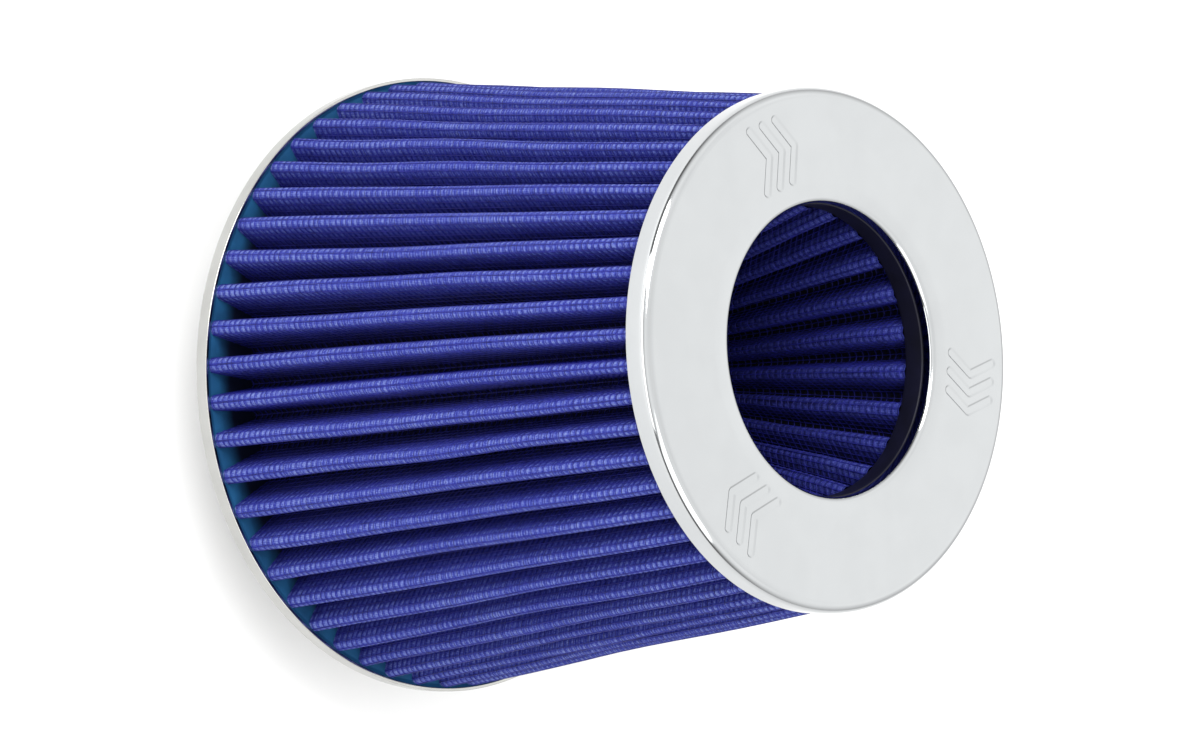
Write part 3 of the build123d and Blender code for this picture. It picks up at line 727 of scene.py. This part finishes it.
neckMesh = latheMesh("neck", [
    (neckSizes["mouth"], 0, neckSizes["mouthEdge"]),
    (neckSizes["lip"], 0, neckSizes["soft"]),
    (neckSizes["lip"], neckSizes["lipTall"], neckSizes["lipEdge"]),
    (neckSizes["groove"], neckSizes["grooveLow"], neckSizes["soft"]),
    (neckSizes["groove"], neckSizes["grooveHigh"], neckSizes["small"]),
    (neckSizes["groove"] + neckSizes["bevel"], grooveTop, neckSizes["small"]),
    (neckSizes["shoulder"], neckSizes["shoulderLow"], neckSizes["shoulderEdge"]),
    (neckSizes["shoulder"], panRear, 0),
    (neckSizes["panHole"], panRear, 0),
    (neckSizes["panHole"], panFloor, 0),
    (neckSizes["flange"], panFloor, 0),
    (neckSizes["flange"], baseTop, neckSizes["soft"]),
    (neckSizes["bore"], baseTop, neckSizes["soft"]),
    (neckSizes["bore"], neckSizes["bevel"], neckSizes["small"]),
], steps=4, around=160)
makePiece("neckMoulding", neckMesh, neckRubber, "filter", "neck")

# the inner cone's end cap: a shallow pressed cup with a poured floor, which rises a little along the wall
cupSizes = {"sheet": 0.8, "corner": 0.55, "edge": 0.3, "pourClear": 0.02, "pourRise": 0.4, "pourReach": 0.7,
            "pourEdge": 0.6}
cupRadius, cupLow, cupRim = endCapHigh[0] / mm, endCapLow[2] / mm, endCapHigh[2] / mm
cupInside, cupFloor = cupRadius - cupSizes["sheet"], cupLow + cupSizes["sheet"]
cupMesh = latheMesh("endCap", [
    (0, cupLow, 0),
    (cupRadius, cupLow, cupSizes["corner"]),
    (cupRadius, cupRim, cupSizes["edge"]),
    (cupInside, cupRim, cupSizes["edge"]),
    (cupInside, cupFloor, 0),
    (0, cupFloor, 0),
], steps=4, around=128)
makePiece("endCapCup", cupMesh, metals["zincPlatedSteel"], "filter", "end_cap")
pourTop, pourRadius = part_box("end_seal")[1][2] / mm, cupInside - cupSizes["pourClear"]
pourMesh = latheMesh("endSeal", [
    (0, cupFloor, 0),
    (pourRadius, cupFloor, 0),
    (pourRadius, pourTop + cupSizes["pourRise"], 0),
    (pourRadius - cupSizes["pourReach"], pourTop, cupSizes["pourEdge"]),
    (0, pourTop, 0),
], steps=4, around=96)
makePiece("endSealPour", pourMesh, darkUrethane, "filter", "end_seal")


finishing = {"weldMm": 0.002, "flatAngle": 0.6, "hardAngle": 50}


def makeFinished(name, node, material, body, easeMm):
    # a copy of the CAD node with its loose triangles merged, its flats joined up and its hard edges eased
    bm = bmesh.new()
    bm.from_mesh(bpy.data.objects[node].data)
    bmesh.ops.remove_doubles(bm, verts=bm.verts, dist=finishing["weldMm"] * mm)
    bmesh.ops.dissolve_limit(bm, angle_limit=math.radians(finishing["flatAngle"]), verts=bm.verts,
                             edges=bm.edges)
    hardAngle = math.radians(finishing["hardAngle"])
    hard = [edge for edge in bm.edges if len(edge.link_faces) == 2 and edge.calc_face_angle(0) > hardAngle]
    bmesh.ops.bevel(bm, geom=hard, offset=easeMm * mm, offset_type="OFFSET", affect="EDGES", segments=2,
                    profile=0.5, material=-1, clamp_overlap=True)
    return makePiece(name, meshFrom(bm, name, 30), metals[material], body, node)


# the worm-drive clamp, and the strips that close the pleated packs
for pieceName, nodeName, metalName, bodyName, easeMm in (
        ("clampLoop", "clamp_band", "rolledStainless", "clamp", 0.1),
        ("clampSaddlePlate", "clamp_saddle", "rolledStainless", "clamp", 0.08),
        ("clampStrapSlotted", "clamp_strap", "rolledStainless", "strap", 0.08),
        ("clampHousingCover", "clamp_housing", "pressedStainless", "clamp", 0.12),
        ("clampWormScrew", "clamp_screw", "zincPlatedSteel", "screw", 0.1),
        ("outerSeamStrip", "outer_seam", "millAluminium", "filter", 0.1),
        ("innerSeamStrip", "inner_seam", "millAluminium", "filter", 0.1)):
    finished = makeFinished(pieceName, nodeName, metalName, bodyName, easeMm)
    print(pieceName, len(finished.data.polygons), "faces")

# stage: pale floor, a soft bright sky with a dark horizon for the chrome to show, camera
stageLook = {
    "floor": "#e2e2e2", "floorSize": 4, "sky": 1.8,
    # greys of the sky from straight down (0) to straight up (1), in front and behind
    "frontSky": [(0.0, 0.16), (0.14, 0.12), (0.3, 0.4), (0.5, 0.8), (0.72, 1.0), (1.0, 0.85)],
    "backSky": [(0.0, 0.5), (0.3, 0.72), (0.6, 1.0), (1.0, 0.85)],
    # each lamp's place, what it points at, its width and height, and its power
    "lamps": {
        "softKey": ((-0.9, -0.9, 1.1), (0, 0, 0.08), (0.9, 0.9), 24.0),
        "softFill": ((0.9, -0.6, 0.9), (0, 0, 0.08), (1.0, 1.0), 6.0),
        "lowFill": ((-0.1, -1.1, 0.3), (0, -0.05, 0.0), (1.4, 0.35), 5.0),
    },
}
floorMesh = bpy.data.meshes.new("floor")
floorBm = bmesh.new()
bmesh.ops.create_grid(floorBm, x_segments=1, y_segments=1, size=stageLook["floorSize"])
floorBm.to_mesh(floorMesh)
floorBm.free()
floorMaterial, _, floorShader = newMaterial("paleFloor", Roughness=0.9)
floorShader.inputs["Base Color"].default_value = linearColour(stageLook["floor"])
floorMesh.materials.append(floorMaterial)
floor = bpy.data.objects.new("floor", floorMesh)
scene.collection.objects.link(floor)

world = bpy.data.worlds.new("studio")
scene.world = world
world.use_nodes = True
worldTree = world.node_tree
background = worldTree.nodes["Background"]
sky = addNode(worldTree, "ShaderNodeTexCoord").outputs["Generated"]
skySplit = addNode(worldTree, "ShaderNodeSeparateXYZ", {"Vector": sky})
frontSky = addNode(worldTree, "ShaderNodeValToRGB", {"Fac": skySplit.outputs["Z"]}, stageLook["frontSky"])
backSky = addNode(worldTree, "ShaderNodeValToRGB", {"Fac": skySplit.outputs["Z"]}, stageLook["backSky"])
aside = addNode(worldTree, "ShaderNodeMapRange", {"Value": skySplit.outputs["Y"], "From Min": -0.2,
                                                  "From Max": 0.4})
skyColour = addNode(worldTree, "ShaderNodeMix", {0: aside.outputs["Result"], 6: frontSky.outputs["Color"],
                                                 7: backSky.outputs["Color"]}, data_type="RGBA").outputs[2]
haze = addNode(worldTree, "ShaderNodeTexNoise", {"Vector": sky, "Scale": 3.0, "Detail": 3.0}).outputs["Fac"]
haze = addNode(worldTree, "ShaderNodeMapRange", {
    "Value": haze, "From Min": 0.3, "From Max": 0.7, "To Min": 0.93, "To Max": 1.03}).outputs["Result"]
skyColour = addNode(worldTree, "ShaderNodeVectorMath", {0: skyColour, 1: haze},
                    operation="MULTIPLY").outputs[0]
worldTree.links.new(skyColour, background.inputs["Color"])
background.inputs["Strength"].default_value = stageLook["sky"]

for name, (place, aim, size, power) in stageLook["lamps"].items():
    lamp = bpy.data.lights.new(name, "AREA")
    lamp.shape = "RECTANGLE"
    lamp.size, lamp.size_y = size
    lamp.energy = power
    holder = bpy.data.objects.new(name, lamp)
    scene.collection.objects.link(holder)
    holder.location = place
    holder.rotation_euler = (Vector(aim) - Vector(place)).to_track_quat("-Z", "Y").to_euler()

# places in metres, roll in degrees about the line of sight, lens in mm
cameraPlace = {"from": (0.04407, -0.67563, 0.78564), "aim": (0.00113, 0.00007, 0.08165), "roll": 84.961,
               "lens": 127.96}
cameraData = bpy.data.cameras.new("camera")
cameraData.lens = cameraPlace["lens"]
cameraData.clip_start = 0.01
camera = bpy.data.objects.new("camera", cameraData)
scene.collection.objects.link(camera)
camera.location = cameraPlace["from"]
looking = (Vector(cameraPlace["aim"]) - Vector(cameraPlace["from"])).to_track_quat("-Z", "Y").to_matrix()
camera.rotation_euler = (looking @ Matrix.Rotation(math.radians(cameraPlace["roll"]), 3, "Z")).to_euler()
scene.camera = camera
print("stage set")
